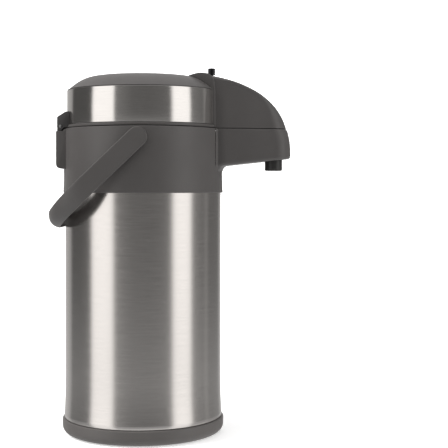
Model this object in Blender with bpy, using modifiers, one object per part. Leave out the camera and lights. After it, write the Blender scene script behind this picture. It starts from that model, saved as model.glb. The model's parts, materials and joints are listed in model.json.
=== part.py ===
"""Thermal pump airpot: a steel vacuum bottle with a hinged pump lid, a spout and a carrying handle.

Metres, +Z up. The origin is on the bottle's axis, on the surface that the airpot stands on.
The spout points to +X, the lid's hinge is at -X, and the handle's pivots are on the Y axis.
"""
import math

import bmesh
import bpy
from mathutils import Matrix, Vector

# Shared sizes
GAP = 0.0003                    # between touching pieces
SKIN = 0.0023                   # plastic wall
CUT_MARGIN = 0.0020             # how far a cutter runs past an open face
JOIN_DEPTH = 0.0004             # how far two joined walls run into each other
SLIVER = 0.00002                # points closer than this after a cut are one point

# Base
PAD_RADIUS = 0.0610
PAD_TOP = 0.0024
BASE_RADIUS = 0.0798
BASE_LIP = 0.0156
BASE_CORNER = 0.0078

# Vacuum bottle
BODY_RADIUS = 0.0769
BODY_FLARE = 0.0782
BODY_TOP_RADIUS = 0.0773
BODY_TOP = 0.2460
STEEL = 0.0009                  # sheet of the outer wall and the liner
LINER_RADIUS = 0.0684
LINER_BOTTOM = 0.0344
LINER_SHOULDER = 0.2120
NECK_RADIUS = 0.0342
NECK_TOP = 0.2745

# Collar
COLLAR_RADIUS = 0.0787
COLLAR_BOTTOM = 0.2374
COLLAR_TOP = 0.3002
DECK_BOTTOM = 0.2575
DECK_TOP = 0.2600
DECK_HOLE = 0.0385

# Stopper and pipes
STOPPER_RADIUS = 0.0362
STOPPER_TOP = 0.2792
PLUG_RADIUS = 0.0312
SIPHON_X = 0.0140
DUCT_X = -0.0120
PIPE_RADIUS = 0.0055
PIPE_BORE = 0.0040
PIPE_LEVEL = 0.2935
PIPE_BEND = 0.0080
NOZZLE_X = 0.1300
NOZZLE_RADIUS = 0.0087
NOZZLE_BOTTOM = 0.2590

# Spout, shared by the collar's trough and the lid's cover
SPOUT_ROOT_HALF = 0.0283
SPOUT_TIP_HALF = 0.0193
SPOUT_TAPER_START = 0.0800
SPOUT_TAPER_END = 0.1275
SPOUT_ROUND = 0.0165
FLANK_SHARE = 0.6
SPOUT_FLOOR_ROOT = Vector((0.0890, 0.2648))
SPOUT_FLOOR_TIP = Vector((0.1440, 0.2707))
TROUGH_NOSE = (Vector((0.1430, 0.3002)), Vector((0.1462, 0.2885)), Vector((0.1468, 0.2755)))
COVER_LINE = (Vector((0.0544, 0.3583)), Vector((0.0865, 0.3533)), Vector((0.1388, 0.3334)),
              Vector((0.1425, 0.3008)))
COVER_BACK = 0.0510

# Hinge at the rear
HINGE_X = -0.0790
HINGE_Z = 0.3023
HINGE_HALF = 0.0280
HINGE_REAR = -0.0835
KNUCKLE_HALF = 0.0215
KNUCKLE_RADIUS = 0.0042
PIN_RADIUS = 0.0015
KNUCKLE_PLAY = 0.0005

# Lid
LID_BOTTOM = 0.3008
LID_FLOOR = 0.3038
RIM_RADIUS = 0.0762
BAND_RADIUS = 0.0757
BAND_TOP = 0.3380
BAND_SHEET = 0.0009
LID_WALL_RADIUS = 0.0745
DOME_LINE = (Vector((0.0502, 0.3520)), Vector((0.0620, 0.3510)), Vector((0.0708, 0.3422)),
             Vector((0.0755, 0.3383)))
WELL_RADIUS = 0.0502
SCREW_CIRCLE = 0.0620
SCREW_ANGLES = (60, 125, 235, 300)

# Pump
PLATE_RADIUS = 0.0498
PLATE_TOP = 0.3535
CAP_BOTTOM = 0.3400
BELLOWS_TOP = 0.3397
BELLOWS_FOOT = 0.3041
BELLOWS_OUTER = 0.0388
BELLOWS_INNER = 0.0312
BELLOWS_FOLDS = 4
SPRING_RADIUS = 0.0205
SPRING_WIRE = 0.0009
SPRING_TURNS = 5

# Lock
LOCK_X = 0.0682
LOCK_Y = -0.0050
LOCK_TRAVEL = 0.0100
KNOB_RADIUS = 0.0036
KNOB_TOP = 0.3610

# Handle
PIVOT_Z = 0.2896
HANDLE_SLOPE = math.radians(43.1)
STRAP_WIDTH = 0.0192
STRAP_INSIDE = 0.0803
STRAP_THICK = 0.0045
HANDLE_REACH = 0.1190
HANDLE_BEND = 0.0520
GRIP_ROUND = 0.0090
STUD_RADIUS = 0.0040

parts = None
cutters = None


# ---------------------------------------------------------------- helpers

def start_scene():
    """Empty the scene and make the two collections."""
    global parts, cutters
    for old in list(bpy.data.objects):
        bpy.data.objects.remove(old, do_unlink=True)
    parts = bpy.data.collections.new("thermal_airpot")
    cutters = bpy.data.collections.new("cutters")
    bpy.context.scene.collection.children.link(parts)
    bpy.context.scene.collection.children.link(cutters)


def material(name, colour, roughness, metallic=0.0):
    """Make or find a Principled material."""
    found = bpy.data.materials.get(name)
    if found:
        return found
    made = bpy.data.materials.new(name)
    made.use_nodes = True
    shader = made.node_tree.nodes["Principled BSDF"]
    shader.inputs["Base Color"].default_value = (*colour, 1.0)
    shader.inputs["Roughness"].default_value = roughness
    shader.inputs["Metallic"].default_value = metallic
    made.diffuse_color = (*colour, 1.0)
    return made


def plastic():
    return material("grey_plastic", (0.095, 0.088, 0.084), 0.45)


def dark_plastic():
    return material("dark_plastic", (0.030, 0.029, 0.028), 0.35)


def inner_plastic():
    return material("inner_plastic", (0.060, 0.058, 0.056), 0.50)


def steel():
    return material("brushed_steel", (0.62, 0.60, 0.58), 0.28, 1.0)


def rubber():
    return material("silicone_rubber", (0.045, 0.045, 0.045), 0.75)


def glossy_black():
    return material("glossy_black", (0.015, 0.015, 0.015), 0.12)


def link(name, mesh, look=None, collection=None):
    """Put a mesh in the scene as a named object."""
    obj = bpy.data.objects.new(name, mesh)
    (collection or parts).objects.link(obj)
    if look:
        mesh.materials.append(look)
    return obj


def bake(obj):
    """Replace an object's modifiers with the mesh that they make."""
    bpy.context.view_layer.update()
    graph = bpy.context.evaluated_depsgraph_get()
    mesh = bpy.data.meshes.new_from_object(obj.evaluated_get(graph))
    obj.modifiers.clear()
    obj.data = mesh
    return obj


def as_cutter(obj):
    obj.hide_render = True
    obj.display_type = "WIRE"
    return obj


def turned(name, outline, look=None, steps=32, closed=False, centre=(0.0, 0.0), collection=None):
    """Turn an outline of (radius, height) points about a vertical line through centre."""
    mesh = bpy.data.meshes.new(name)
    points = [(radius, 0.0, height) for radius, height in outline]
    edges = [(i, i + 1) for i in range(len(points) - 1)]
    if closed:
        edges.append((len(points) - 1, 0))
    mesh.from_pydata(points, edges, [])
    obj = link(name, mesh, look, collection)
    screw = obj.modifiers.new("turn", "SCREW")
    screw.axis = "Z"
    screw.steps = steps
    screw.render_steps = steps
    screw.use_merge_vertices = True
    screw.merge_threshold = 0.00001
    screw.use_smooth_shade = True
    bake(obj)
    obj.location = (centre[0], centre[1], 0.0)
    return obj


def block(name, low, high, look=None, collection=None):
    """A box between two corners."""
    mesh = bpy.data.meshes.new(name)
    form = bmesh.new()
    bmesh.ops.create_cube(form, size=1.0)
    low = Vector(low)
    high = Vector(high)
    bmesh.ops.scale(form, vec=high - low, verts=form.verts)
    bmesh.ops.translate(form, vec=(low + high) / 2, verts=form.verts)
    form.to_mesh(mesh)
    form.free()
    return link(name, mesh, look, collection)


def rod(name, radius, start, end, look=None, sides=16, collection=None):
    """A round bar between two points."""
    start = Vector(start)
    end = Vector(end)
    along = end - start
    turn = Vector((0, 0, 1)).rotation_difference(along).to_matrix().to_4x4()
    mesh = bpy.data.meshes.new(name)
    form = bmesh.new()
    bmesh.ops.create_cone(form, cap_ends=True, segments=sides, radius1=radius, radius2=radius,
                          depth=along.length, matrix=Matrix.Translation((start + end) / 2) @ turn)
    form.to_mesh(mesh)
    form.free()
    return link(name, mesh, look, collection)


def curve_mesh(name, curve, look=None, collection=None, place=None):
    """Turn a curve into a welded mesh object."""
    bent = bpy.data.objects.new(name + "_curve", curve)
    parts.objects.link(bent)
    bpy.context.view_layer.update()
    graph = bpy.context.evaluated_depsgraph_get()
    mesh = bpy.data.meshes.new_from_object(bent.evaluated_get(graph))
    bpy.data.objects.remove(bent, do_unlink=True)
    form = bmesh.new()
    form.from_mesh(mesh)
    bmesh.ops.remove_doubles(form, verts=form.verts, dist=0.000001)
    if place:
        bmesh.ops.transform(form, matrix=place, verts=form.verts)
    bmesh.ops.recalc_face_normals(form, faces=form.faces)
    form.to_mesh(mesh)
    form.free()
    mesh.materials.clear()
    return link(name, mesh, look, collection)


def plate(name, outline, depth, place, look=None, collection=None):
    """A flat outline given a thickness about its own plane, then placed by a matrix."""
    curve = bpy.data.curves.new(name, "CURVE")
    curve.dimensions = "2D"
    curve.fill_mode = "BOTH"
    curve.extrude = depth / 2
    line = curve.splines.new("POLY")
    line.points.add(len(outline) - 1)
    for point, (x, y) in zip(line.points, outline):
        point.co = (x, y, 0.0, 1.0)
    line.use_cyclic_u = True
    return curve_mesh(name, curve, look, collection, place)


def bent_tube(name, path, radius, look=None, resolution=3, collection=None):
    """A round wire along a path, with filled ends."""
    curve = bpy.data.curves.new(name, "CURVE")
    curve.dimensions = "3D"
    curve.bevel_depth = radius
    curve.bevel_resolution = resolution
    curve.use_fill_caps = True
    line = curve.splines.new("POLY")
    line.points.add(len(path) - 1)
    for point, place in zip(line.points, path):
        point.co = (*place, 1.0)
    return curve_mesh(name, curve, look, collection)


def arc(centre, radius, start, end, steps):
    """Points along an arc, with the angles in degrees."""
    points = []
    for i in range(steps + 1):
        angle = math.radians(start + (end - start) * i / steps)
        points.append((centre[0] + radius * math.cos(angle), centre[1] + radius * math.sin(angle)))
    return points


def bezier(controls, steps):
    """Points along a Bezier curve of any degree."""
    points = []
    for i in range(steps + 1):
        level = list(controls)
        while len(level) > 1:
            level = [a.lerp(b, i / steps) for a, b in zip(level, level[1:])]
        points.append(level[0])
    return points


def combine(target, other, operation):
    """Cut or join one object with another, which then goes away."""
    change = target.modifiers.new("combine", "BOOLEAN")
    change.operation = operation
    change.solver = "EXACT"
    change.object = other
    bake(target)
    bpy.data.objects.remove(other, do_unlink=True)
    form = bmesh.new()
    form.from_mesh(target.data)
    bmesh.ops.remove_doubles(form, verts=form.verts, dist=SLIVER)
    bmesh.ops.dissolve_degenerate(form, edges=form.edges, dist=SLIVER)
    form.to_mesh(target.data)
    form.free()
    return target


def cut(target, other):
    return combine(target, as_cutter(other), "DIFFERENCE")


def join(target, other):
    return combine(target, other, "UNION")


def keep_inside(target, other):
    return combine(target, as_cutter(other), "INTERSECT")


def side_view():
    """Puts an outline's (x, y) at world (X, Z), with its thickness along Y."""
    return Matrix(((1, 0, 0, 0), (0, 0, -1, 0), (0, 1, 0, 0), (0, 0, 0, 1)))


def set_origin(obj, point):
    """Move an object's origin without moving its shape."""
    shift = Vector(point) - obj.location
    obj.data.transform(Matrix.Translation(-shift))
    obj.location = point


# ---------------------------------------------------------------- spout sections

def spout_section(back, nose, inset=0.0, rounding=SPOUT_ROUND):
    """Half of a level section of the spout: points from the root round to the nose.

    The flank runs straight from the root, tapers towards the tip and turns round to the nose.
    """
    taper = (SPOUT_ROOT_HALF - SPOUT_TIP_HALF) / (SPOUT_TAPER_END - SPOUT_TAPER_START)

    def half_width(x):
        return SPOUT_ROOT_HALF - inset - taper * min(max(x - SPOUT_TAPER_START, 0.0), 0.06)

    long_radius = min(rounding, 0.9 * (nose - back))
    corner = nose - long_radius
    wide = half_width(corner)
    cross_radius = min(rounding, wide)
    middle = min(SPOUT_TAPER_START, back + FLANK_SHARE * (corner - back))
    half = [(back, half_width(back)), (middle, half_width(middle))]
    for i in range(5):
        angle = math.pi / 2 * (1 - i / 4)
        along = corner + long_radius * math.cos(angle)
        half.append((along, wide - cross_radius + cross_radius * math.sin(angle)))
    return half


def spout_loft(name, levels, look=None, collection=None):
    """Skin level sections, given as (height, half outline), into one closed solid."""
    mesh = bpy.data.meshes.new(name)
    form = bmesh.new()
    rings = []
    for height, half in levels:
        outline = [(x, -y) for x, y in half] + [(x, y) for x, y in reversed(half)]
        rings.append([form.verts.new((x, y, height)) for x, y in outline])
    for lower, upper in zip(rings, rings[1:]):
        for i in range(len(lower)):
            j = (i + 1) % len(lower)
            form.faces.new((lower[i], lower[j], upper[j], upper[i]))
    form.faces.new(list(reversed(rings[0])))
    form.faces.new(rings[-1])
    bmesh.ops.triangulate(form, faces=[face for face in form.faces if len(face.verts) > 4])
    bmesh.ops.recalc_face_normals(form, faces=form.faces)
    form.to_mesh(mesh)
    form.free()
    return link(name, mesh, look, collection)


def cover_levels(inset, steps):
    """Level sections of the lid's spout cover, from its seam up to its crest."""
    line = list(reversed(bezier(COVER_LINE, steps)))
    levels = []
    for point in line[:-2]:
        back = max(COVER_BACK, COVER_BACK + (point.y - 0.3545) * 0.8) + 2.2 * inset
        nose = point.x - inset
        height = point.y - (inset if point.y > LID_BOTTOM + 0.001 else 0.0)
        if nose - back > 0.004:
            levels.append((height, spout_section(back, nose, inset)))
    return levels


def trough_levels(inset):
    """Level sections of the collar's trough, from under its floor up to the seam."""
    nose_line = list(reversed(bezier(TROUGH_NOSE, 4)))
    root = 0.0700 if inset == 0 else COLLAR_RADIUS + 0.0018
    levels = [(0.2560, spout_section(root, nose_line[0].x - inset - 0.0006, inset))]
    for point in nose_line:
        levels.append((point.y, spout_section(root, point.x - inset, inset)))
    return levels


# ---------------------------------------------------------------- base and bottle

def make_base():
    turned("base_pad", [(0, PAD_TOP), (PAD_RADIUS - 0.0008, PAD_TOP), (PAD_RADIUS, PAD_TOP - 0.0008),
                        (PAD_RADIUS, 0.0008), (PAD_RADIUS - 0.0008, 0.0), (0, 0.0)], rubber())
    corner = (BASE_RADIUS - BASE_CORNER, 0.0005 + BASE_CORNER)
    outline = [(0, 0.0052), (0.0700, 0.0052), (0.0738, 0.0080), (0.0738, 0.0240), (0.0756, 0.0240),
               (0.0756, BASE_LIP), (BASE_RADIUS - 0.0004, BASE_LIP), (BASE_RADIUS, BASE_LIP - 0.0008)]
    outline += arc(corner, BASE_CORNER, 0, -90, 4)
    outline += [(PAD_RADIUS + 0.0008, 0.0005), (PAD_RADIUS + 0.0008, PAD_TOP + GAP), (0, PAD_TOP + GAP)]
    turned("base_cup", outline, plastic(), steps=40)


def make_bottle():
    outer = [(BODY_TOP_RADIUS, BODY_TOP), (BODY_RADIUS, 0.1500), (BODY_RADIUS, 0.0500),
             (BODY_RADIUS + 0.0004, 0.0320), (BODY_FLARE, BASE_LIP + GAP)]
    inner = [(radius - STEEL, height) for radius, height in reversed(outer)]
    turned("outer_shell", outer + inner, steel(), steps=44, closed=True)

    turned("shell_bottom", [(0, 0.0282), (0.0680, 0.0282), (0.0745, 0.0315), (0.0745, 0.0360),
                            (0.0757, 0.0360), (0.0757, 0.0308), (0.0700, 0.0270), (0, 0.0270)],
           steel(), steps=24)
    turned("shell_shoulder", [(0.0348, 0.2600), (0.0358, 0.2600), (0.0366, 0.2558), (0.0700, 0.2486),
                              (0.0757, 0.2450), (0.0757, 0.2400), (0.0747, 0.2400), (0.0747, 0.2444),
                              (0.0695, 0.2476), (0.0360, 0.2548), (0.0348, 0.2555)],
           steel(), steps=24, closed=True)

    wall = STEEL + 0.0001
    inside = [(0, LINER_BOTTOM + wall), (0.0570, LINER_BOTTOM + wall), (0.0650, 0.0390),
              (LINER_RADIUS - wall, 0.0480), (LINER_RADIUS - wall, LINER_SHOULDER), (0.0640, 0.2270),
              (0.0540, 0.2380), (0.0400, 0.2450), (NECK_RADIUS - wall, 0.2510), (NECK_RADIUS - wall, 0.2732),
              (STOPPER_RADIUS + 0.0004, NECK_TOP)]
    outside = [(STOPPER_RADIUS + 0.0004, NECK_TOP - 0.0010), (NECK_RADIUS, 0.2722), (NECK_RADIUS, 0.2518),
               (0.0408, 0.2460), (0.0548, 0.2390), (0.0650, 0.2278), (LINER_RADIUS, LINER_SHOULDER + 0.0002),
               (LINER_RADIUS, 0.0476), (0.0658, 0.0380), (0.0574, LINER_BOTTOM), (0, LINER_BOTTOM)]
    turned("inner_liner", inside + outside, steel(), steps=28)

    turned("mouth_ring", [(0.0440, 0.2700), (0.0460, 0.2680), (0.0460, DECK_TOP + GAP), (0.0346, DECK_TOP + GAP),
                          (0.0346, 0.2700)], inner_plastic(), steps=24, closed=True)
    turned("mouth_seal", [(STOPPER_RADIUS, 0.2759), (STOPPER_RADIUS, 0.2748), (0.0326, 0.2748),
                          (0.0326, 0.2759)], rubber(), steps=24, closed=True)


# ---------------------------------------------------------------- collar

def collar_inside():
    """The space inside the collar's wall; it is a little wide so that the joined walls share material."""
    radius = COLLAR_RADIUS - SKIN + JOIN_DEPTH
    return turned("inside", [(0, 0.3200), (radius, 0.3200), (radius, 0.2000), (0, 0.2000)],
                  steps=40, collection=cutters)


def make_collar():
    outline = [(COLLAR_RADIUS - 0.0006, COLLAR_TOP), (COLLAR_RADIUS, COLLAR_TOP - 0.0006),
               (COLLAR_RADIUS + 0.0001, 0.2560), (COLLAR_RADIUS + 0.0006, COLLAR_BOTTOM + 0.0006),
               (COLLAR_RADIUS + 0.0003, COLLAR_BOTTOM), (0.0779, COLLAR_BOTTOM), (0.0777, DECK_BOTTOM),
               (DECK_HOLE, DECK_BOTTOM), (DECK_HOLE, DECK_TOP), (COLLAR_RADIUS - SKIN, DECK_TOP),
               (COLLAR_RADIUS - SKIN, COLLAR_TOP)]
    collar = turned("collar", outline, plastic(), steps=40, closed=True)

    trough = spout_loft("trough", trough_levels(0.0))
    floor_line = [(0.1600, 0.2400), (0.1600, 0.2740), (0.1475, 0.2740), (0.1470, 0.2722),
                  (SPOUT_FLOOR_TIP.x, SPOUT_FLOOR_TIP.y), (SPOUT_FLOOR_ROOT.x, SPOUT_FLOOR_ROOT.y),
                  (0.0850, 0.2635), (0.0815, 0.2605), (0.0795, 0.2565), (0.0790, 0.2400)]
    cut(trough, plate("under_floor", floor_line, 0.08, side_view(), collection=cutters))
    hollow = spout_loft("hollow", trough_levels(SKIN), collection=cutters)
    floor_top = [(0.0600, 0.2500), (0.1600, 0.2500), (0.1600, 0.2722), (0.1180, 0.2722), (0.1160, 0.2705),
                 (0.0600, 0.2675)]
    cut(hollow, plate("floor_top", floor_top, 0.08, side_view(), collection=cutters))
    for vertex in hollow.data.vertices:
        if vertex.co.z > COLLAR_TOP - 0.0001:
            vertex.co.z += CUT_MARGIN
    cut(trough, hollow)
    cut(trough, collar_inside())
    join(collar, trough)

    bracket = [(-0.0735, 0.2978), (HINGE_REAR + 0.0008, 0.2978), (HINGE_REAR, 0.2970)]
    bracket += arc((HINGE_REAR + 0.0040, 0.2650), 0.0040, 180, 255, 3)
    bracket += [(-0.0735, 0.2600)]
    hinge = plate("bracket", bracket, 2 * HINGE_HALF, side_view())
    knuckle = arc((HINGE_X, HINGE_Z), KNUCKLE_RADIUS, 0, 180, 8)
    knuckle += [(HINGE_X - KNUCKLE_RADIUS, 0.2960), (-0.0745, 0.2960), (-0.0745, 0.2990)]
    join(hinge, plate("knuckle", knuckle, 2 * KNUCKLE_HALF, side_view()))
    cut(hinge, collar_inside())
    join(collar, hinge)
    cut(collar, rod("pin_hole", PIN_RADIUS + GAP, (HINGE_X, -0.04, HINGE_Z), (HINGE_X, 0.04, HINGE_Z),
                    collection=cutters))

    for side in (-1, 1):
        join(collar, rod("pivot_boss", 0.0075, (0, side * 0.0770, PIVOT_Z), (0, side * 0.0799, PIVOT_Z), sides=20))
    cut(collar, rod("stud_hole", STUD_RADIUS + GAP, (0, -0.09, PIVOT_Z), (0, 0.09, PIVOT_Z), collection=cutters))
    cut(collar, block("pipe_window", (0.0700, -0.0085, 0.2860), (0.0840, 0.0085, 0.3100), collection=cutters))
    cut(collar, rod("nozzle_hole", NOZZLE_RADIUS + GAP, (NOZZLE_X, 0, 0.2500), (NOZZLE_X, 0, 0.2900),
                    sides=24, collection=cutters))
    join(collar, block("catch_ledge", (0.0729, 0.0095, 0.2920), (0.0772, 0.0175, 0.2940)))


# ---------------------------------------------------------------- stopper, pipes and nozzle

def make_stopper():
    outline = [(0, STOPPER_TOP), (STOPPER_RADIUS, STOPPER_TOP), (STOPPER_RADIUS, 0.2762),
               (PLUG_RADIUS, 0.2762), (PLUG_RADIUS, 0.2685), (0.0299, 0.2685), (0.0299, 0.2655),
               (PLUG_RADIUS, 0.2655), (PLUG_RADIUS, 0.2610), (0.0280, 0.2600), (0.0280, 0.2745), (0, 0.2745)]
    stopper = turned("stopper", outline, inner_plastic(), steps=24)
    join(stopper, rod("lower_boss", 0.0085, (SIPHON_X, 0, 0.2620), (SIPHON_X, 0, 0.2770), sides=20))
    join(stopper, rod("upper_boss", 0.0092, (SIPHON_X, 0, 0.2770), (SIPHON_X, 0, 0.2832), sides=20))
    cut(stopper, rod("siphon_socket", 0.0053, (SIPHON_X, 0, 0.2500), (SIPHON_X, 0, 0.2740), sides=20,
                     collection=cutters))
    cut(stopper, rod("passage", 0.0036, (SIPHON_X, 0, 0.2600), (SIPHON_X, 0, 0.2900), sides=20,
                     collection=cutters))
    cut(stopper, rod("pipe_socket", 0.0059, (SIPHON_X, 0, 0.2775), (SIPHON_X, 0, 0.2950), sides=20,
                     collection=cutters))
    cut(stopper, rod("air_hole", 0.0040, (DUCT_X, 0, 0.2500), (DUCT_X, 0, 0.2950), collection=cutters))
    turned("stopper_seal", [(0.0327, 0.2682), (0.0327, 0.2658), (0.0302, 0.2658), (0.0302, 0.2682)],
           rubber(), steps=24, closed=True)

    turned("siphon_tube", [(0.0050, 0.2737), (0.0050, 0.0420), (0.0040, 0.0420), (0.0040, 0.2737)],
           steel(), steps=16, closed=True, centre=(SIPHON_X, 0))


def pipe_path(extra):
    """Centre line of the discharge pipe, with extra length at both ends."""
    rise = PIPE_LEVEL - PIPE_BEND
    points = [(SIPHON_X, 0.2780 - extra)]
    points += arc((SIPHON_X + PIPE_BEND, rise), PIPE_BEND, 180, 90, 5)
    points += arc((NOZZLE_X - PIPE_BEND, rise), PIPE_BEND, 90, 0, 5)
    points += [(NOZZLE_X, 0.2645 - extra)]
    return [(x, 0.0, z) for x, z in points]


def make_pipe():
    pipe = bent_tube("discharge_pipe", pipe_path(0.0), PIPE_RADIUS, inner_plastic())
    cut(pipe, bent_tube("pipe_bore", pipe_path(0.003), PIPE_BORE, collection=cutters))
    turned("elbow_seal", [(0.0085, 0.2853), (0.0085, 0.2835), (0.0058, 0.2835), (0.0058, 0.2853)],
           rubber(), steps=20, closed=True, centre=(SIPHON_X, 0))
    turned("nozzle", [(0.0110, 0.2745), (0.0110, 0.2725), (NOZZLE_RADIUS, 0.2725),
                      (NOZZLE_RADIUS, NOZZLE_BOTTOM + 0.0012), (NOZZLE_RADIUS - 0.0010, NOZZLE_BOTTOM),
                      (0.0050, NOZZLE_BOTTOM), (0.0050, 0.2625), (0.0062, 0.2637), (0.0062, 0.2745)],
           dark_plastic(), steps=24, closed=True, centre=(NOZZLE_X, 0))
    turned("nozzle_seal", [(0.0085, 0.2766), (0.0085, 0.2748), (0.0058, 0.2748), (0.0058, 0.2766)],
           rubber(), steps=20, closed=True, centre=(NOZZLE_X, 0))
    rod("hinge_pin", PIN_RADIUS, (HINGE_X, -0.0283, HINGE_Z), (HINGE_X, 0.0283, HINGE_Z), steel())


# ---------------------------------------------------------------- lid

def on_circle(degrees, radius=SCREW_CIRCLE):
    angle = math.radians(degrees)
    return radius * math.cos(angle), radius * math.sin(angle)


def lid_cavity(radius):
    """The round space inside the lid's wall, as a cutter."""
    return turned("cavity", [(0, 0.3364), (radius, 0.3364), (radius, 0.2900), (0, 0.2900)], steps=40,
                  collection=cutters)


def make_lid_shell():
    dome = [(point.x, point.y) for point in bezier(DOME_LINE, 6)]
    wall_inside = LID_WALL_RADIUS - SKIN
    outline = dome + [(LID_WALL_RADIUS, 0.3383), (LID_WALL_RADIUS, LID_FLOOR + GAP),
                      (wall_inside, LID_FLOOR + GAP), (wall_inside, 0.3368), (0.0680, 0.3408),
                      (0.0610, 0.3466), (WELL_RADIUS + 0.0020, 0.3492), (WELL_RADIUS + 0.0020, 0.3300),
                      (WELL_RADIUS, 0.3300)]
    shell = turned("lid_shell", outline, plastic(), steps=40, closed=True)

    cover = spout_loft("cover", cover_levels(0.0, 12))
    cut(cover, lid_cavity(wall_inside + JOIN_DEPTH))
    join(shell, cover)

    ears = [(-0.0823, 0.3114), (-0.0734, 0.3168), (-0.0670, 0.3168), (-0.0670, 0.3043), (-0.0768, 0.3043),
            (-0.0768, 0.2998), (-0.0779, 0.2986), (HINGE_X, 0.2983), (-0.0812, 0.2990), (-0.0823, 0.3005)]
    ears = plate("ears", list(reversed(ears)), 2 * HINGE_HALF, side_view())
    cut(ears, lid_cavity(wall_inside + JOIN_DEPTH))
    join(shell, ears)

    hollow = spout_loft("hollow", cover_levels(SKIN, 12), collection=cutters)
    for vertex in hollow.data.vertices:
        if vertex.co.z < LID_BOTTOM + 0.0001:
            vertex.co.z -= CUT_MARGIN
    cut(shell, hollow)

    # The knuckle's slot is open below and behind, so that the knuckle's foot can pass when the lid is up.
    reach = KNUCKLE_RADIUS + KNUCKLE_PLAY
    slot = arc((HINGE_X, HINGE_Z), reach, 0, 90, 5)
    slot += [(HINGE_X - 0.0006, HINGE_Z + reach + 0.0004), (-0.0860, HINGE_Z + reach + 0.0004), (-0.0860, 0.2960),
             (HINGE_X + reach, 0.2960)]
    cut(shell, plate("knuckle_slot", slot, 2 * (KNUCKLE_HALF + KNUCKLE_PLAY), side_view(), collection=cutters))
    cut(shell, rod("pin_hole", PIN_RADIUS + GAP, (HINGE_X, -0.04, HINGE_Z), (HINGE_X, 0.04, HINGE_Z),
                   collection=cutters))

    for degrees in SCREW_ANGLES:
        x, y = on_circle(degrees)
        join(shell, rod("boss", 0.0036, (x, y, LID_FLOOR + GAP), (x, y, 0.3442), sides=12))
        cut(shell, rod("pilot", 0.0017, (x, y, 0.2950), (x, y, 0.3180), sides=12, collection=cutters))

    cut(shell, block("lock_window", (0.0480, -0.0096, 0.3428), (0.0600, 0.0096, 0.3467), collection=cutters))
    cut(shell, block("knob_slot", (LOCK_X - 0.0019, LOCK_Y - 0.0020, 0.3400),
                     (LOCK_X + 0.0019, LOCK_Y + LOCK_TRAVEL + 0.0020, 0.3700), collection=cutters))
    return shell


def make_lid_band():
    band = turned("lid_band", [(BAND_RADIUS, BAND_TOP), (BAND_RADIUS, LID_FLOOR + 0.0004),
                               (BAND_RADIUS - BAND_SHEET, LID_FLOOR + 0.0004), (BAND_RADIUS - BAND_SHEET, BAND_TOP)],
                  steel(), steps=48, closed=True)
    edge = SPOUT_ROOT_HALF + GAP
    cut(band, block("front_gap", (0.0400, -edge, 0.2900), (0.0900, edge, 0.3500), collection=cutters))
    edge = HINGE_HALF + GAP
    cut(band, block("rear_gap", (-0.0900, -edge, 0.2900), (-0.0400, edge, 0.3172), collection=cutters))


def make_lid_base():
    base = turned("lid_base", [(0, LID_FLOOR), (RIM_RADIUS - 0.0004, LID_FLOOR), (RIM_RADIUS, LID_FLOOR - 0.0004),
                               (RIM_RADIUS, LID_BOTTOM + 0.0004), (RIM_RADIUS - 0.0004, LID_BOTTOM),
                               (0, LID_BOTTOM)], inner_plastic(), steps=40)
    join(base, rod("duct", 0.0105, (DUCT_X, 0, 0.2823), (DUCT_X, 0, 0.3020), sides=24))
    cut(base, rod("duct_bore", 0.0045, (DUCT_X, 0, 0.2700), (DUCT_X, 0, 0.3100), sides=20, collection=cutters))
    edge = SPOUT_ROOT_HALF + GAP
    cut(base, block("front_gap", (0.0660, -edge, 0.2900), (0.0900, edge, 0.3100), collection=cutters))
    edge = HINGE_HALF + GAP
    cut(base, block("rear_gap", (-0.0900, -edge, 0.2900), (-0.0738, edge, 0.3100), collection=cutters))
    for degrees in SCREW_ANGLES:
        x, y = on_circle(degrees)
        cut(base, rod("screw_hole", 0.0018, (x, y, 0.2950), (x, y, 0.3100), sides=12, collection=cutters))

    for number, degrees in enumerate(SCREW_ANGLES, 1):
        turned("lid_screw_%d" % number, [(0, 0.3160), (0.0013, 0.3160), (0.0013, 0.3005), (0.0030, 0.3005),
                                         (0.0030, 0.2993), (0.0022, 0.2986), (0, 0.2986)],
               steel(), steps=12, centre=on_circle(degrees))
    turned("valve_flap", [(0, 0.3049), (0.0068, 0.3049), (0.0068, LID_FLOOR + GAP), (0, LID_FLOOR + GAP)],
           rubber(), steps=20, centre=(DUCT_X, 0))
    turned("duct_gasket", [(0.0102, 0.2820), (0.0102, STOPPER_TOP + GAP), (0.0050, STOPPER_TOP + GAP),
                           (0.0050, 0.2820)], rubber(), steps=24, closed=True, centre=(DUCT_X, 0))

    hook = [(0.0570, 0.3005), (0.0570, 0.2990), (0.0696, 0.2990), (0.0696, 0.2880), (0.0712, 0.2880),
            (0.0724, 0.2896), (0.0724, 0.2912), (0.0712, 0.2912), (0.0712, 0.3005)]
    place = Matrix.Translation((0, 0.0135, 0)) @ side_view()
    plate("lid_catch", hook, 0.0060, place, inner_plastic())


# ---------------------------------------------------------------- pump

def make_bellows():
    pitch = (0.3382 - 0.3064) / (2 * BELLOWS_FOLDS)
    radii = [BELLOWS_INNER if i % 2 == 0 else BELLOWS_OUTER for i in range(2 * BELLOWS_FOLDS + 1)]
    heights = [0.3382 - i * pitch for i in range(2 * BELLOWS_FOLDS + 1)]
    outside = [(0.0300, BELLOWS_TOP), (radii[0] + 0.0006, BELLOWS_TOP)]
    outside += [(radius + 0.0006, height) for radius, height in zip(radii, heights)]
    foot = [(0.0340, 0.3056), (0.0445, 0.3056), (0.0445, BELLOWS_FOOT), (0.0300, BELLOWS_FOOT)]
    inside = [(radius - 0.0006, height) for radius, height in zip(reversed(radii), reversed(heights))]
    inside[-1] = (0.0280, inside[-1][1])
    turned("bellows", outside + foot + inside + [(0.0280, BELLOWS_TOP)], rubber(), steps=20, closed=True)
    turned("bellows_ring", [(0.0450, 0.3080), (0.0450, 0.3059), (0.0402, 0.3059), (0.0402, 0.3080)],
           inner_plastic(), steps=20, closed=True)


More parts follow.
